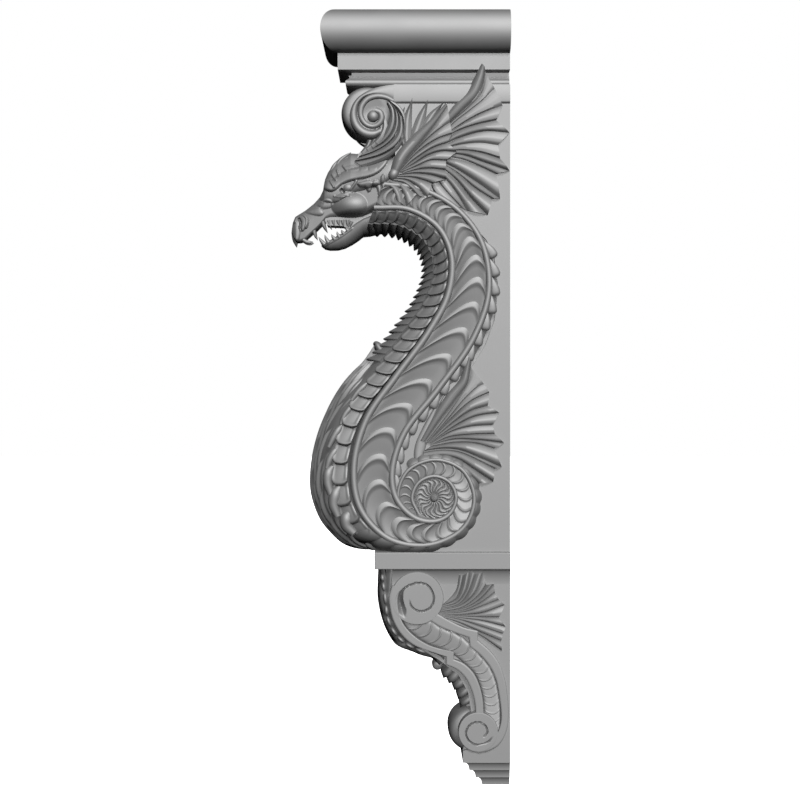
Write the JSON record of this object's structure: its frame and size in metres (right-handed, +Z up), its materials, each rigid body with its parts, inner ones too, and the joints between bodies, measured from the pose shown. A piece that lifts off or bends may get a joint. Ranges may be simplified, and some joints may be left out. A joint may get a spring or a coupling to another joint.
{
  "type": "carved wall bracket",
  "caption": "Tall carved wooden wall bracket: a moulded crown over a scaly sea dragon with fins and a coiled tail, on a plain ledge and a scrolled console.",
  "frame": {"origin": "centre of the flat back that lies on the wall, at mid-height", "axes": "+Z up along the bracket's length; -X out from the wall to the dragon's beak; +X into the wall; Y across the bracket"},
  "size_m": [0.2855, 0.1226, 1.0003],
  "materials": {
    "carved_wood": "machine-carved hardwood under a thin coat of satin mid-grey primer"
  },
  "bodies": {
    "root": {"crown_moulding": "carved_wood", "dragon_carving": "carved_wood", "ledge_board": "carved_wood", "scroll_console": "carved_wood"}
  },
  "joints": []
}
